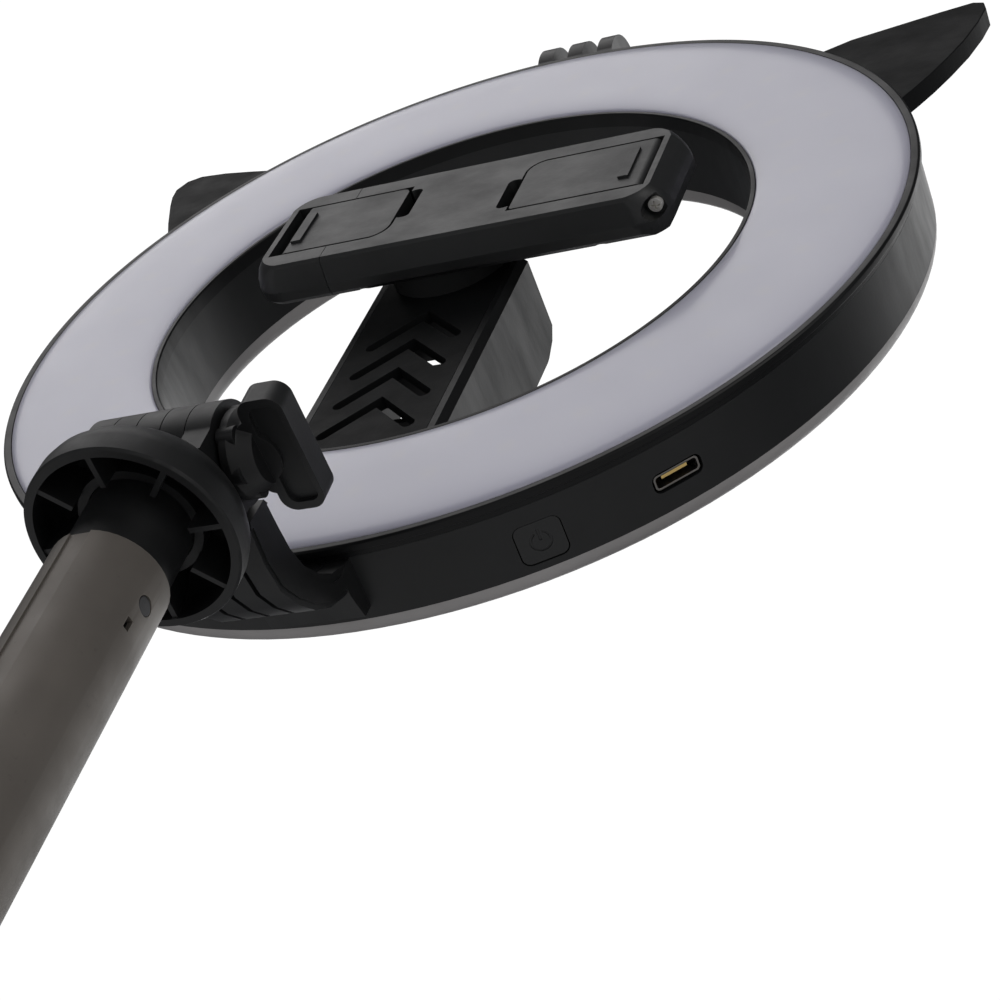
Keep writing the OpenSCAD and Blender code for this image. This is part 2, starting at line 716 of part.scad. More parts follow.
// ---------- stand ----------
tube_top = tilt_z - 24.4;
sleeve_top = tilt_z - 8.4;
sleeve_r = tube_r - tube_wall - 0.02;
foot_h = 18;

// rod across the tube's +X wall, from a distance inside its surface
module wall_rod(inward, r, length)
  translate([tube_r - inward, 0, tilt_z - 31]) rotate([0, 90, 0])
    cylinder(r = r, h = length, $fn = 48);
module rivet_hole() wall_rod(3, 1.42, 6);

// small slot below the rivet
module wall_slot(inward)
  rotate(-8) translate([tube_r - inward, -0.5, tilt_z - 36.6]) cube([6, 1.0, 1.9]);

module tube() {
  color([0.33, 0.315, 0.30]) difference() {
    translate([0, 0, foot_h]) cylinder(r = tube_r, h = tube_top - foot_h, $fn = 96);
    translate([0, 0, foot_h - 1]) cylinder(r = tube_r - tube_wall, h = tube_top, $fn = 96);
    // guide flats
    for (a = [-91.5, 88.5])
      rotate(a) translate([tube_r - 0.45, -1.6, -1]) cube([2, 3.2, tube_top + 2]);
    rivet_hole();
    wall_slot(3);
  }
}

module tube_sleeve() {
  bottom = tube_top - 28;
  color([0.05, 0.05, 0.052]) difference() {
    translate([0, 0, bottom]) cylinder(r = sleeve_r, h = sleeve_top - bottom, $fn = 96);
    translate([0, 0, bottom - 2]) cylinder(r = 4.6, h = 42, $fn = 64);
    rivet_hole();
    wall_slot(1.6);
  }
}

module sleeve_rivet() { color([0.12, 0.12, 0.125]) wall_rod(2.98, 1.4, 2.85); }

module tube_foot() {
  color([0.05, 0.05, 0.052]) difference() {
    union() {
      cylinder(r = tube_r + 0.3, h = foot_h, $fn = 96);
      translate([0, 0, foot_h - overlap]) cylinder(r = sleeve_r, h = 16, $fn = 96);
    }
    translate([0, 0, -1]) cylinder(r = 5.0, h = foot_h + 20, $fn = 96);
  }
}

// hexagonal bar along +X on the tilt axis
module hexagon(x, r, h)
  at_tilt() translate([x, 0, 0]) rotate([0, 90, 0]) cylinder(r = r, h = h, $fn = 6);

// ribbed cup on the sleeve with three fingers on top
module knuckle_collar() {
  // cup section [radius, height from the tilt axis]
  cup = [[13.6, -16.5], [14.7, -16.5], [15.0, -16.1], [15.0, -13.2], [14.6, -11.4],
         [13.6, -9.6], [12.2, -7.9], [10.6, -6.9], [0, -6.6], [0, -8.4], [7.45, -8.4],
         [7.45, -13.0], [8.7, -13.0], [8.7, -8.7], [11.0, -8.9], [12.5, -10.4],
         [13.4, -12.4]];
  color([0.05, 0.052, 0.055]) difference() {
    union() {
      at_tilt() rotate_extrude($fn = 120) polygon(cup);
      // ribs inside the cup
      at_tilt() for (k = [0:7]) rotate(45 * k) {
        translate([8.6, -0.4, -16.2]) cube([3.6, 0.8, 8.0]);
        translate([12.1, -0.4, -16.2]) cube([1.7, 0.8, 5.9]);
      }
      // three fingers and the nut boss
      for (x = [-2, 0, 2] * finger_step) {
        tilt_cyl(x - 1.95, x + 1.95, finger_r);
        at_tilt() translate([x, -6.6, -finger_r]) block([3.9, 13.2, finger_r]);
      }
      tilt_cyl(-13.2, -9.5, 6.2);
    }
    tilt_cyl(-15, 12, bolt_hole_r);
    // seat of the nut
    hexagon(-13.6, 4.62, 3.4);
    // room for the hook's fingers
    for (x = [-finger_step, finger_step]) tilt_cyl(x - 2.05, x + 2.05, finger_r + 0.2);
  }
}

module tilt_nut() {
  color([0.72, 0.72, 0.74]) difference() {
    hexagon(-13.5, 4.58, 3.2);
    tilt_cyl(-20, 5, bolt_hole_r);
  }
}

module tilt_bolt() { color([0.72, 0.72, 0.74]) tilt_cyl(-14.2, 13.6, bolt_r); }

// T-shaped handle: a lobed cone on the bolt and a flat tab that holds its axis
module tilt_handle() {
  tab_half = 2.1;     // half the tab's thickness
  recess = 0.7;
  color([0.055, 0.057, 0.06]) difference() {
    at_tilt() {
      translate([10.1, 0, 0]) rotate([0, 90, 0]) rotate_extrude($fn = 64)
        polygon([[0, 0], [5.6, 0], [6.2, 0.5], [6.2, 1.6], [5.4, 3.0], [4.6, 4.6], [0, 4.6]]);
      // six lobes
      for (a = [30:60:330])
        translate([10.2, 0, 0]) rotate([a, 0, 0]) translate([0, 4.9, 0])
          rotate([0, 90, 0]) cylinder(r = 1.5, h = 2.6, $fn = 32);
      translate([0, 0, -tab_half]) linear_extrude(2 * tab_half) {
        translate([17.3, 0]) rounded_rect(6.6, 18.1, 2.2);
        polygon([[12, -4.4], [13.4, -5.6], [15.5, -6.6], [15.5, 6.6], [13.4, 5.6], [12, 4.4]]);
      }
    }
    tilt_cyl(5, 13.6, bolt_r);
    // shallow recesses on both faces of the tab
    at_tilt() for (side = [-1, 1])
      translate([0, 0, side * tab_half - recess]) linear_extrude(2 * recess) difference() {
        translate([17.6, 0]) rounded_rect(4.4, 15.6, 1.3);
        translate([12.9, 0]) circle(4.2, $fn = 48);
      }
  }
}

rear_housing();
back_cover();
outer_bezel();
inner_bezel();
diffuser();
led_board();
leds();
control_board();
usb_shell();
usb_tongue();
tact_switch();
power_button();
battery();
cover_screws();
left_fin();
right_fin();
top_mount();
hook_bracket();
hook_screws();
arm_frame();
arm_front_plate();
arm_screws();
clamp_front();
clamp_back();
clamp_screws();
swivel_screw();
swivel_washer();
clamp_end_screw();
slide_springs();
clamp_slider();
slider_tongue();
right_jaw();
left_jaw();
right_jaw_pin();
left_jaw_pin();
tube();
tube_sleeve();
sleeve_rivet();
tube_foot();
knuckle_collar();
tilt_nut();
tilt_bolt();
tilt_handle();
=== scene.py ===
"""Ring lamp with an opal sheet, a black housing, an arm, a clamp with jaws and a tube.

The head has its own frame: the origin is the ring's centre, x runs across, y along the
ring's axis and z across the ring's plane. The opal sheet faces -y. The frame leans about
the world's X. A depth is a place along the head's y.
"""
import json
import math

import bmesh
import bpy
from mathutils import Matrix, Vector


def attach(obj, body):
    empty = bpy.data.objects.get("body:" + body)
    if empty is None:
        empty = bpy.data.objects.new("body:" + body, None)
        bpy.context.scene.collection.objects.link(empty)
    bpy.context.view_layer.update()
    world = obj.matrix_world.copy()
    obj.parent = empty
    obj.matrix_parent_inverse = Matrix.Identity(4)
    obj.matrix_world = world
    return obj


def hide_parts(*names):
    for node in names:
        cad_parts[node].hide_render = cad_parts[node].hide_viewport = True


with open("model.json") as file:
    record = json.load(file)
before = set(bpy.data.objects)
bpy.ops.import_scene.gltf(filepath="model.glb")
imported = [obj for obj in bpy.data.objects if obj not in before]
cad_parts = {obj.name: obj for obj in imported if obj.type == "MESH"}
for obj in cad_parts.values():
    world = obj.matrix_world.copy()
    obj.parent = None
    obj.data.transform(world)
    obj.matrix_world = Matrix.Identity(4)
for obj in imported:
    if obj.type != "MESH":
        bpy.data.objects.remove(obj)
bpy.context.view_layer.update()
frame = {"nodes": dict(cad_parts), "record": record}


# Lengths are in mm where they are multiplied by MM, otherwise in metres
MM = 0.001
OUTER_R, INNER_R = 81.6, 54.0
RING_Y, RING_Z = 27.7, 99.0  # ring's centre from the tilt pivot, in the leaning frame
RING_SEGMENTS = 320

RECORD = frame["record"]
JOINTS = {joint["name"]: joint for joint in RECORD["behaviour"]["joints"]}
SLOT = {part["node"]: part["material_slot"] for part in RECORD["subparts"]}
BODY = {node: body for body, nodes in RECORD["behaviour"]["bodies"].items() for node in nodes}

swivel_axis = JOINTS["clamp_swivel"]["axis"]
LEAN = math.atan2(swivel_axis[2], swivel_axis[1])
PIVOT = Vector(JOINTS["head_tilt"]["pos_m"])
HEAD = (Matrix.Translation(PIVOT) @ Matrix.Rotation(LEAN, 4, "X")
        @ Matrix.Translation((0, RING_Y * MM, RING_Z * MM)))

# ------------------------------------------------------------------ material builder


def shade(base, factor, lift=0.0):
    """A colour scaled and lifted, held to 1."""
    return tuple(min(1.0, channel * factor + lift) for channel in base)


class NodeMaterial:
    """Small builder for node materials. A value may be a number, a colour or a socket."""

    def __init__(self, name):
        self.material = bpy.data.materials.new(name)
        self.material.use_nodes = True
        self.tree = self.material.node_tree
        self.bsdf = next(n for n in self.tree.nodes if n.type == "BSDF_PRINCIPLED")
        self.coords = self.node("TexCoord").outputs["Object"]
        self.normal = None

    def node(self, kind):
        return self.tree.nodes.new("ShaderNode" + kind)

    def feed(self, socket, value):
        if isinstance(value, (int, float)):
            socket.default_value = value
        elif isinstance(value, (tuple, list)):
            socket.default_value = (*value[:3], 1.0)
        else:
            self.tree.links.new(value, socket)

    def set(self, key, value):
        self.feed(self.bsdf.inputs[key], value)

    def noise(self, scale, detail=4.0, roughness=0.55, stretch=None):
        source = self.coords
        if stretch:
            mapping = self.node("Mapping")
            mapping.inputs["Scale"].default_value = stretch
            self.feed(mapping.inputs["Vector"], source)
            source = mapping.outputs["Vector"]
        noise = self.node("TexNoise")
        self.feed(noise.inputs["Scale"], scale)
        self.feed(noise.inputs["Detail"], detail)
        self.feed(noise.inputs["Roughness"], roughness)
        self.feed(noise.inputs["Vector"], source)
        return noise.outputs["Fac"]

    def remap(self, value, span, to=(0.0, 1.0)):
        node = self.node("MapRange")
        for key, limit in zip(("From Min", "From Max", "To Min", "To Max"), (*span, *to)):
            self.feed(node.inputs[key], limit)
        self.feed(node.inputs["Value"], value)
        return node.outputs["Result"]

    def calc(self, operation, a, b=0.0):
        node = self.node("Math")
        node.operation = operation
        self.feed(node.inputs[0], a)
        self.feed(node.inputs[1], b)
        return node.outputs[0]

    def times(self, a, b):
        return self.calc("MULTIPLY", a, b)

    def mix(self, factor, a, b):
        node = self.node("Mix")
        node.data_type = "RGBA"
        for index, value in ((0, factor), (6, a), (7, b)):
            self.feed(node.inputs[index], value)
        return node.outputs[2]

    def split(self, vector):
        node = self.node("SeparateXYZ")
        self.feed(node.inputs[0], vector)
        return node.outputs

    def bump(self, height, distance, strength):
        """Lay a bump over any laid before; distance is in metres."""
        node = self.node("Bump")
        self.feed(node.inputs["Distance"], distance)
        self.feed(node.inputs["Strength"], strength)
        self.feed(node.inputs["Height"], height)
        if self.normal:
            self.feed(node.inputs["Normal"], self.normal)
        self.normal = node.outputs["Normal"]
        self.set("Normal", self.normal)

    def edges(self, radius):
        """0 on flat surfaces, towards 1 on sharp edges."""
        bevel = self.node("Bevel")
        bevel.samples = 4
        self.feed(bevel.inputs["Radius"], radius)
        geometry = self.node("NewGeometry")
        dot = self.node("VectorMath")
        dot.operation = "DOT_PRODUCT"
        self.feed(dot.inputs[0], bevel.outputs["Normal"])
        self.feed(dot.inputs[1], geometry.outputs["Normal"])
        return self.remap(dot.outputs["Value"], span=(0.99, 0.86))


# ------------------------------------------------------------------ materials


def plastic(name, base, roughness, grain=2600.0, grain_height=0.000018, wear=0.35,
            specular=0.5, dust=0.10, wear_gain=1.9):
    m = NodeMaterial(name)
    broad = m.noise(scale=38.0, detail=3.0)
    fine = m.noise(scale=grain, detail=2.0, roughness=0.6)
    mid = m.noise(scale=420.0, roughness=0.6)
    smear = m.noise(scale=95.0, detail=6.0, roughness=0.65, stretch=(1.0, 0.35, 1.6))
    color = m.mix(m.remap(broad, span=(0.35, 0.68)), shade(base, 0.86), shade(base, 1.16, 0.0015))
    # worn edges catch a lighter tone, broken up by noise
    edge = m.times(m.edges(radius=0.00055), m.remap(mid, span=(0.38, 0.62), to=(0.15, 1.0)))
    color = m.mix(m.times(edge, wear), color, shade(base, wear_gain, 0.006))
    # light dust settles on what faces up
    normal = m.split(m.node("NewGeometry").outputs["Normal"])
    upward = m.remap(normal["Z"], span=(0.25, 1.0))
    specks = m.remap(m.noise(scale=900.0, detail=3.0, roughness=0.7), span=(0.5, 0.72))
    dusty = m.times(m.times(upward, specks), dust)
    dust_color = (0.32, 0.31, 0.29)
    m.set("Base Color", m.mix(dusty, color, dust_color))
    smeared = m.remap(smear, span=(0.3, 0.7), to=(roughness - 0.07, roughness + 0.09))
    m.set("Roughness", m.calc("ADD", smeared, m.times(dusty, 0.4)))
    m.set("Specular IOR Level", specular)
    m.bump(mid, distance=0.00002, strength=0.35)
    m.bump(fine, distance=grain_height, strength=0.55)
    return m.material


def opal(name):
    lamp_rows = (0.0615, 0.0695)  # radii of the two rows of light sources
    lamps_per_row = 36.0
    lamp_reach = 0.0026
    side_inset = 0.8  # mm, from the ring's radii to the shaded sides of the sheet

    m = NodeMaterial(name)
    broad = m.noise(scale=22.0, detail=3.0)
    mid = m.noise(scale=700.0, detail=3.0, roughness=0.6)
    smear = m.noise(scale=70.0, detail=5.0, roughness=0.6)
    # polar coordinates about the ring's axis
    place = m.split(m.coords)
    x = place["X"]
    above_pivot = m.calc("SUBTRACT", place["Z"], PIVOT.z)
    z = m.calc("ADD", m.times(place["Y"], -math.sin(LEAN)), m.times(above_pivot, math.cos(LEAN)))
    z = m.calc("SUBTRACT", z, RING_Z * MM)
    radius = m.calc("SQRT", m.calc("ADD", m.times(x, x), m.times(z, z)))
    # the sheet is a touch darker towards its edges, where the side walls shade the cavity
    across = m.remap(radius, to=(-1.0, 1.0),
                     span=((INNER_R + side_inset) * MM, (OUTER_R - side_inset) * MM))
    rim = m.calc("POWER", m.times(across, across), 5.0)
    cool, cool_light = (0.585, 0.585, 0.70), (0.615, 0.615, 0.72)
    color = m.mix(m.remap(broad, span=(0.3, 0.7)), cool, cool_light)
    rim_color = (0.45, 0.44, 0.54)
    color = m.mix(m.times(rim, 0.5), color, rim_color)
    # the light sources show through as the faintest warm marks, staggered between rows
    angle = m.calc("ARCTAN2", x, z)
    marks = None
    for row, row_radius in enumerate(lamp_rows):
        phase = m.calc("ADD", m.times(angle, lamps_per_row), math.pi * row)
        along = m.remap(m.calc("COSINE", phase), span=(0.55, 1.0))
        off_row = m.calc("ABSOLUTE", m.calc("SUBTRACT", radius, row_radius))
        near_row = m.remap(off_row, span=(0.0, lamp_reach), to=(1.0, 0.0))
        spots = m.times(along, near_row)
        marks = spots if marks is None else m.calc("ADD", marks, spots)
    warm = (0.74, 0.70, 0.58)
    m.set("Base Color", m.mix(m.times(marks, 0.10), color, warm))
    m.set("Roughness", m.remap(smear, span=(0.3, 0.7), to=(0.30, 0.42)))
    m.set("Specular IOR Level", 0.45)
    m.set("Coat Weight", 0.6)
    m.set("Coat Roughness", 0.16)
    m.set("Subsurface Weight", 0.25)
    m.bsdf.inputs["Subsurface Radius"].default_value = (0.9, 0.85, 1.0)
    m.set("Subsurface Scale", 0.002)
    m.bump(mid, distance=0.000012, strength=0.4)
    m.bump(m.noise(scale=3400.0, detail=2.0), distance=0.000006, strength=0.4)
    return m.material


def metal(name, base, roughness, stretch=(1.0, 1.0, 1.0), grain=2400.0, scratch=0.5,
          metallic=1.0):
    m = NodeMaterial(name)
    brushed = m.noise(scale=grain, detail=3.0, roughness=0.6, stretch=stretch)
    broad = m.noise(scale=55.0)
    specks = m.noise(scale=800.0, detail=5.0, roughness=0.7)
    color = m.mix(m.remap(broad, span=(0.3, 0.7)), shade(base, 0.88), shade(base, 1.08))
    pits = m.remap(specks, span=(0.62, 0.75), to=(0.0, 0.5))
    color = m.mix(pits, color, shade(base, 0.55))
    edge = m.times(m.edges(radius=0.0003), 0.4)
    m.set("Base Color", m.mix(edge, color, shade(base, 1.5)))
    m.set("Metallic", metallic)
    m.set("Roughness", m.remap(m.noise(scale=130.0, detail=5.0), span=(0.3, 0.7),
                               to=(roughness - 0.06, roughness + 0.1)))
    m.bump(brushed, distance=0.00001, strength=scratch)
    return m.material


# material slot: (maker, its settings)
LOOKS = {
    "housing_black": (plastic, dict(base=(0.0095, 0.0100, 0.0106), roughness=0.40, wear=0.25,
                                    specular=0.36)),
    "bezel_black": (plastic, dict(base=(0.0045, 0.0048, 0.0052), roughness=0.36, grain=3400.0,
                                  grain_height=0.00001, wear=0.12, specular=0.22,
                                  wear_gain=1.4)),
    "cover_grey": (plastic, dict(base=(0.33, 0.318, 0.316), roughness=0.40, wear=0.25,
                                 wear_gain=1.25, dust=0.18)),
    "opal": (opal, {}),
    "board_white": (plastic, dict(base=(0.72, 0.72, 0.69), roughness=0.45, wear=0.1,
                                  wear_gain=1.1)),
    "led_yellow": (plastic, dict(base=(0.78, 0.62, 0.20), roughness=0.35, wear=0.1,
                                 wear_gain=1.1)),
    "board_green": (plastic, dict(base=(0.01, 0.09, 0.035), roughness=0.35, wear=0.2)),
    "screw_steel": (metal, dict(base=(0.82, 0.80, 0.75), roughness=0.34, metallic=0.7)),
    # painted shade: the port's steel shell has a dark base colour that stands in for the shade
    # inside the port's opening
    "shell_steel": (metal, dict(base=(0.20, 0.19, 0.18), roughness=0.34)),
    "contact_gold": (metal, dict(base=(0.83, 0.58, 0.22), roughness=0.28)),
    "switch_black": (plastic, dict(base=(0.015, 0.015, 0.016), roughness=0.4)),
    "button_black": (plastic, dict(base=(0.0100, 0.0105, 0.0110), roughness=0.34, grain=3600.0,
                                   wear=0.45, wear_gain=2.4, specular=0.45)),
    "cell_blue": (plastic, dict(base=(0.03, 0.07, 0.16), roughness=0.3)),
    "arm_black": (plastic, dict(base=(0.0080, 0.0084, 0.0090), roughness=0.42, wear=0.3,
                                specular=0.20)),
    "clamp_black": (plastic, dict(base=(0.0125, 0.0133, 0.0136), roughness=0.44, grain=2200.0,
                                  grain_height=0.00002)),
    "jaw_black": (plastic, dict(base=(0.0115, 0.0123, 0.0126), roughness=0.46, grain=2000.0,
                                grain_height=0.000022)),
    "screw_black": (metal, dict(base=(0.05, 0.05, 0.052), roughness=0.35)),
    "tube_metal": (metal, dict(base=(0.165, 0.148, 0.130), roughness=0.48,
                               stretch=(1.0, 1.0, 0.02), grain=3000.0, scratch=0.35,
                               metallic=0.25)),
    "joint_black": (plastic, dict(base=(0.0080, 0.0084, 0.0090), roughness=0.46, wear=0.3,
                                  specular=0.4)),
}
MATERIALS = {name: maker(name, **settings) for name, (maker, settings) in LOOKS.items()}

# the fins and the arm's front plate have a coarser matt face; their darker base colour is painted
# shade
MATT_SHADED_NODES = ("left_fin", "right_fin", "arm_front_plate")
MATT_SHADED_BLACK = plastic("housing_black_matt_painted_shade", base=(0.0058, 0.0062, 0.0066), roughness=0.52,
                     grain=2000.0, grain_height=0.000024, wear=0.3, specular=0.07)

# ------------------------------------------------------------------ mesh tools


def add_mesh(name, bm):
    mesh = bpy.data.meshes.new(name)
    bm.to_mesh(mesh)
    bm.free()
    ob = bpy.data.objects.new(name, mesh)
    bpy.context.scene.collection.objects.link(ob)
    return ob


def evaluated_mesh(ob):
    """The object's mesh with its modifiers applied; they are then removed."""
    mesh = bpy.data.meshes.new_from_object(
        ob.evaluated_get(bpy.context.evaluated_depsgraph_get()))
    ob.modifiers.clear()
    return mesh


def swap_mesh(ob, mesh):
    old = ob.data
    ob.data = mesh
    bpy.data.meshes.remove(old)


def trim_to(ob, blank):
    """Keep only what lies inside the blank."""
    cutter = add_mesh("cutter", blank)
    cutter_mesh = cutter.data
    boolean = ob.modifiers.new("round", "BOOLEAN")
    boolean.operation = "INTERSECT"
    boolean.solver = "EXACT"
    boolean.object = cutter
    trimmed = evaluated_mesh(ob)
    bpy.data.objects.remove(cutter)
    bpy.data.meshes.remove(cutter_mesh)
    # guards against a failed intersection, which leaves next to nothing
    if len(trimmed.polygons) > 20:
        swap_mesh(ob, trimmed)


def apply_bevel(ob, width):
    bevel = ob.modifiers.new("bevel", "BEVEL")
    bevel.width = width * MM
    bevel.segments = 3
    bevel.limit_method = "ANGLE"
    bevel.angle_limit = math.radians(28)
    bevel.miter_outer = "MITER_ARC"
    bevel.use_clamp_overlap = True
    swap_mesh(ob, evaluated_mesh(ob))


def put(name, bm, node, smooth, bevel=0.0, material=None, within=None):
    """Stand a mesh in for a CAD node; smooth is in degrees, bevel in mm."""
    ob = add_mesh(name, bm)
    if within is not None:
        trim_to(ob, within)
    ob.data.materials.clear()
    ob.data.materials.append(material or MATERIALS[SLOT[node]])
    if bevel:
        apply_bevel(ob, bevel)
    for polygon in ob.data.polygons:
        polygon.use_smooth = True
    ob.data.set_sharp_from_angle(angle=math.radians(smooth))
    if bevel:
        normals = ob.modifiers.new("wn", "WEIGHTED_NORMAL")
        normals.keep_sharp = True
        normals.weight = 60
    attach(ob, BODY[node])
    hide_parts(node)


def cad_copy(node):
    """The CAD node's mesh with its triangles joined back into flat faces."""
    bm = bmesh.new()
    bm.from_mesh(frame["nodes"][node].data)
    bmesh.ops.remove_doubles(bm, verts=bm.verts, dist=1e-6)
    bmesh.ops.dissolve_limit(bm, angle_limit=math.radians(0.8), verts=bm.verts,
                             edges=bm.edges, delimit=set())
    return bm


def bridge(bm, row, next_row):
    """Join two closed rows of vertices with quads."""
    for i in range(len(row)):
        j = (i + 1) % len(row)
        bm.faces.new((row[i], row[j], next_row[j], next_row[i]))


def lathe(profile):
    """Revolve a closed outline of (radius, depth) points in mm about the ring's axis."""
    bm = bmesh.new()
    rows = []
    for k in range(RING_SEGMENTS):
        angle = 2 * math.pi * k / RING_SEGMENTS
        sine, cosine = math.sin(angle), math.cos(angle)
        rows.append([bm.verts.new(HEAD @ Vector((r * sine * MM, depth * MM, r * cosine * MM)))
                     for r, depth in profile])
    for k, row in enumerate(rows):
        bridge(bm, row, rows[(k + 1) % RING_SEGMENTS])
    bmesh.ops.recalc_face_normals(bm, faces=bm.faces)
    return bm


def fillet(corners, steps=5):
    """Round a closed outline of (radius, depth, corner rounding) points."""
    outline = []
    for i, (x, y, rounding) in enumerate(corners):
        if rounding <= 0:
            outline.append((x, y))
            continue
        corner = Vector((x, y))
        back = Vector(corners[i - 1][:2]) - corner
        ahead = Vector(corners[(i + 1) % len(corners)][:2]) - corner
        shortest = min(back.length, ahead.length)
        back.normalize()
        ahead.normalize()
        half_angle = back.angle(ahead) / 2
        reach = min(rounding / math.tan(half_angle), 0.49 * shortest)
        start, end = corner + back * reach, corner + ahead * reach
        for k in range(steps + 1):
            w = k / steps
            point = start * (1 - w) ** 2 + corner * 2 * w * (1 - w) + end * w ** 2
            outline.append((point.x, point.y))
    return outline


# ------------------------------------------------------------------ ring: sheet and trims

SHEET_BACK = 1.7
TRIM_BACK = 2.7
SHEET_GAP = 0.75  # from the ring's radii to the sheet's edges


def sheet_profile():
    """Crowned face, its points closer together towards both edges, and a flat back."""
    inner, outer = INNER_R + SHEET_GAP, OUTER_R - SHEET_GAP
    edge_depth, crown = 0.35, 1.0
    steps = 96
    points = []
    for i in range(steps + 1):
        t = (1 - math.cos(math.pi * i / steps)) / 2
        from_middle = abs(2 * t - 1)
        rise = (1 - from_middle ** 3.2) ** (1 / 2.4)
        points.append((inner + (outer - inner) * t, edge_depth - (crown + edge_depth) * rise))
    return points + [(outer, SHEET_BACK), (inner, SHEET_BACK)]


# (radius, depth, corner rounding)
OUTER_TRIM = [
    (OUTER_R - 0.7, 0.06, 0.12), (OUTER_R + 0.5, 0.0, 0.3), (OUTER_R + 0.8, 0.35, 0.25),
    (OUTER_R + 0.8, 1.3, 0.2), (OUTER_R + 0.6, 1.5, 0.15), (OUTER_R, 1.5, 0.1),
    (OUTER_R, TRIM_BACK, 0.12), (OUTER_R - 3.8, TRIM_BACK, 0),
    (OUTER_R - 3.8, SHEET_BACK, 0), (OUTER_R - 0.7, SHEET_BACK, 0),
]
INNER_TRIM = [
    (INNER_R - 0.2, 0.3, 0.1), (INNER_R - 0.05, 0.0, 0.15), (INNER_R + 0.7, 0.06, 0.12),
    (INNER_R + 0.7, SHEET_BACK, 0), (INNER_R + 3.4, SHEET_BACK, 0),
    (INNER_R + 3.4, TRIM_BACK, 0), (INNER_R - 0.2, TRIM_BACK, 0),
]
# CAD node: (object name, outline)
LATHED = {
    "diffuser": ("opal_sheet", sheet_profile()),
    "outer_bezel": ("outer_trim", fillet(OUTER_TRIM)),
    "inner_bezel": ("inner_trim", fillet(INNER_TRIM)),
}
for node, (name, profile) in LATHED.items():
    put(name, lathe(profile), node, smooth=40)

# ------------------------------------------------------------------ clamp and other pieces

# height of the clamp's swivel in the head's frame, in metres
swivel = Vector(JOINTS["clamp_swivel"]["pos_m"]) - PIVOT
CLAMP_Z = -math.sin(LEAN) * swivel.y + math.cos(LEAN) * swivel.z - RING_Z * MM

CLAMP_LEFT, CLAMP_RIGHT, CLAMP_HEIGHT = -32.3, 44.6, 26.8
# (depth, inset in x, inset in z, corner radius)
CLAMP_LEVELS = [
    (-11.03, 2.45, 1.20, 5.2), (-10.5, 2.0, 0.62, 5.5), (-9.5, 1.12, 0.45, 5.9),
    (-7.8, 0.24, 0.18, 6.4), (-6.3, -0.04, -0.04, 6.6), (-4.5, 0.10, 0.10, 6.4),
    (-3.57, 0.95, 0.95, 5.6),
]


def clamp_blank():
    """Rounded blank about the clamp, stacked from rounded rectangles along the depth."""
    corner_steps = 12
    bm = bmesh.new()
    rows = []
    for depth, inset_x, inset_z, radius in CLAMP_LEVELS:
        left, right = CLAMP_LEFT + inset_x, CLAMP_RIGHT - inset_x
        top = CLAMP_HEIGHT / 2 - inset_z
        corners = ((right - radius, top - radius, 0), (left + radius, top - radius, 90),
                   (left + radius, -top + radius, 180), (right - radius, -top + radius, 270))
        row = []
        for x, z, start in corners:
            for k in range(corner_steps + 1):
                angle = math.radians(start + 90 * k / corner_steps)
                row.append(bm.verts.new(HEAD @ Vector((
                    (x + radius * math.cos(angle)) * MM, depth * MM,
                    (z + radius * math.sin(angle)) * MM + CLAMP_Z))))
        rows.append(row)
    for row, next_row in zip(rows, rows[1:]):
        bridge(bm, row, next_row)
    bm.faces.new(rows[0])
    bm.faces.new(rows[-1])
    bmesh.ops.recalc_face_normals(bm, faces=bm.faces)
    return bm


def shrink_end_screw(bm):
    """Shrink the screw in the head's x and y about a point, and shift it along z."""
    centre_x, centre_y = 0.0424, -0.0078
    scale, shift_z = 0.80, 0.0004
    to_head = HEAD.inverted()
    for vert in bm.verts:
        place = to_head @ vert.co
        place.x = centre_x + (place.x - centre_x) * scale
        place.y = centre_y + (place.y - centre_y) * scale
        place.z += shift_z
        vert.co = HEAD @ place


# CAD node: bevel width in mm
BEVELS = {
    "rear_housing": 0.18, "back_cover": 0.15, "power_button": 0.15, "left_fin": 0.45,
    "right_fin": 0.45, "top_mount": 0.45, "hook_bracket": 0.30, "arm_frame": 0.40,
    "arm_front_plate": 0.35, "clamp_front": 0.40, "clamp_back": 0.35, "clamp_slider": 0.40,
    "slider_tongue": 0.2, "right_jaw": 0.35, "left_jaw": 0.35, "tube": 0.12,
    "tube_sleeve": 0.15, "sleeve_rivet": 0.2, "tube_foot": 0.25, "knuckle_collar": 0.30,
    "tilt_handle": 0.45, "tilt_nut": 0.2, "tilt_bolt": 0.2, "clamp_end_screw": 0.12,
    "swivel_screw": 0.15, "cover_screws": 0.12, "clamp_screws": 0.1, "usb_shell": 0.08,
    "usb_tongue": 0.05,
}
for node, width in BEVELS.items():
    bm = cad_copy(node)
    if node == "clamp_end_screw":
        shrink_end_screw(bm)
    put("v_" + node, bm, node, smooth=30, bevel=width,
        material=MATT_SHADED_BLACK if node in MATT_SHADED_NODES else None,
        within=clamp_blank() if node in ("clamp_front", "clamp_slider") else None)

# the remaining CAD nodes keep their meshes
for node, ob in frame["nodes"].items():
    if node not in BEVELS and node not in LATHED:
        ob.data.materials.clear()
        ob.data.materials.append(MATERIALS[SLOT[node]])

# ------------------------------------------------------------------ stage


def add_floor():
    bpy.ops.mesh.primitive_plane_add(size=8.0, location=(0, 0, -0.0005))
    floor = bpy.context.object
    floor.name = "floor"
    m = NodeMaterial("floor")
    m.set("Base Color", m.mix(m.noise(scale=6.0), (0.78, 0.78, 0.78), (0.84, 0.84, 0.84)))
    m.set("Roughness", 0.7)
    m.bump(m.noise(scale=400.0, detail=3.0), distance=0.0001, strength=0.2)
    floor.data.materials.append(m.material)


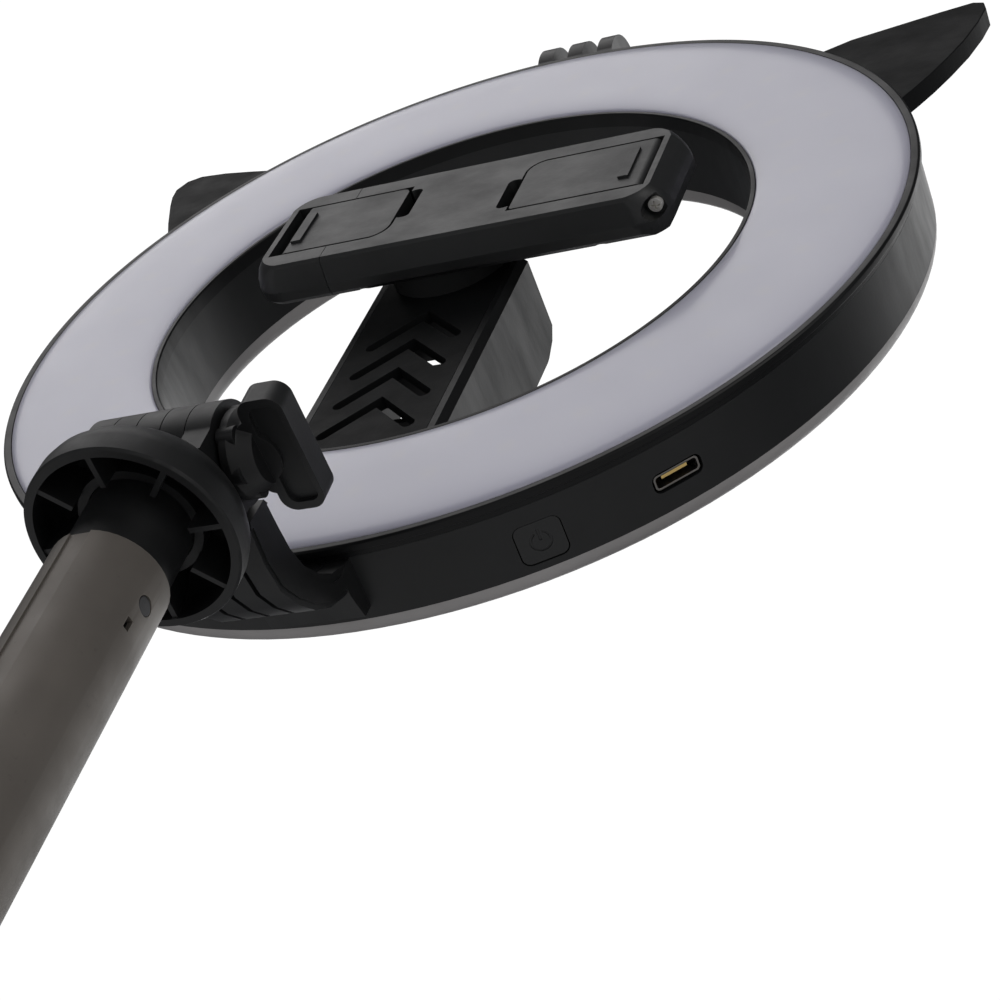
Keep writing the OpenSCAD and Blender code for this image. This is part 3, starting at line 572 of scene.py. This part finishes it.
def add_world():
    """White where the camera sees it, a dim cool light elsewhere."""
    world = bpy.data.worlds.new("studio")
    bpy.context.scene.world = world
    world.use_nodes = True
    nodes, links = world.node_tree.nodes, world.node_tree.links
    nodes.clear()
    output = nodes.new("ShaderNodeOutputWorld")

    def background(color, strength):
        node = nodes.new("ShaderNodeBackground")
        node.inputs["Color"].default_value = (*color, 1)
        node.inputs["Strength"].default_value = strength
        return node.outputs[0]

    seen = background(color=(1, 1, 1), strength=1.05)
    lighting = background(color=(0.93, 0.95, 1.0), strength=0.10)
    path = nodes.new("ShaderNodeLightPath")
    mix = nodes.new("ShaderNodeMixShader")
    links.new(path.outputs["Is Camera Ray"], mix.inputs[0])
    links.new(lighting, mix.inputs[1])
    links.new(seen, mix.inputs[2])
    links.new(mix.outputs[0], output.inputs[0])


def add_light(name, place, size, power, color):
    """Rectangular light aimed at the ring's centre."""
    light = bpy.data.lights.new(name, "AREA")
    light.shape = "RECTANGLE"
    light.size, light.size_y = size
    light.energy = power
    light.color = color
    ob = bpy.data.objects.new(name, light)
    ob.location = place
    aim = Vector(tuple(HEAD.translation)) - Vector(place)
    ob.rotation_euler = aim.to_track_quat("-Z", "Y").to_euler()
    bpy.context.scene.collection.objects.link(ob)


def add_camera():
    # place (mm) and directions in the head's frame
    place = Vector((173.12, -172.16, -349.14))
    rightward = Vector((0.9065, 0.3332, 0.2593))
    forward = Vector((-0.4012, 0.4884, 0.7750))

    data = bpy.data.cameras.new("cam")
    data.sensor_fit = "HORIZONTAL"
    data.sensor_width = 36.0
    data.lens = 89.09
    data.clip_start = 0.01
    camera = bpy.data.objects.new("cam", data)
    bpy.context.scene.collection.objects.link(camera)
    turn = HEAD.to_3x3()
    right = (turn @ rightward).normalized()
    ahead = turn @ forward
    ahead = (ahead - right * ahead.dot(right)).normalized()
    up = right.cross(ahead)
    position = HEAD @ (place * MM)
    camera.matrix_world = Matrix((
        *((right[i], up[i], -ahead[i], position[i]) for i in range(3)), (0, 0, 0, 1)))
    bpy.context.scene.camera = camera


add_floor()
add_world()
add_light("key", place=(-0.75, -0.95, 1.80), size=(1.9, 1.6), power=12.0,
          color=(1.0, 0.985, 0.985))
add_light("fill", place=(1.4, -1.1, 0.30), size=(1.1, 1.1), power=7.0,
          color=(1.0, 0.985, 0.97))
add_light("back", place=(0.15, 1.15, 1.80), size=(2.7, 1.4), power=15.0, color=(1, 1, 1))
add_camera()
bpy.context.scene.view_settings.view_transform = "Standard"
bpy.context.scene.view_settings.look = "None"
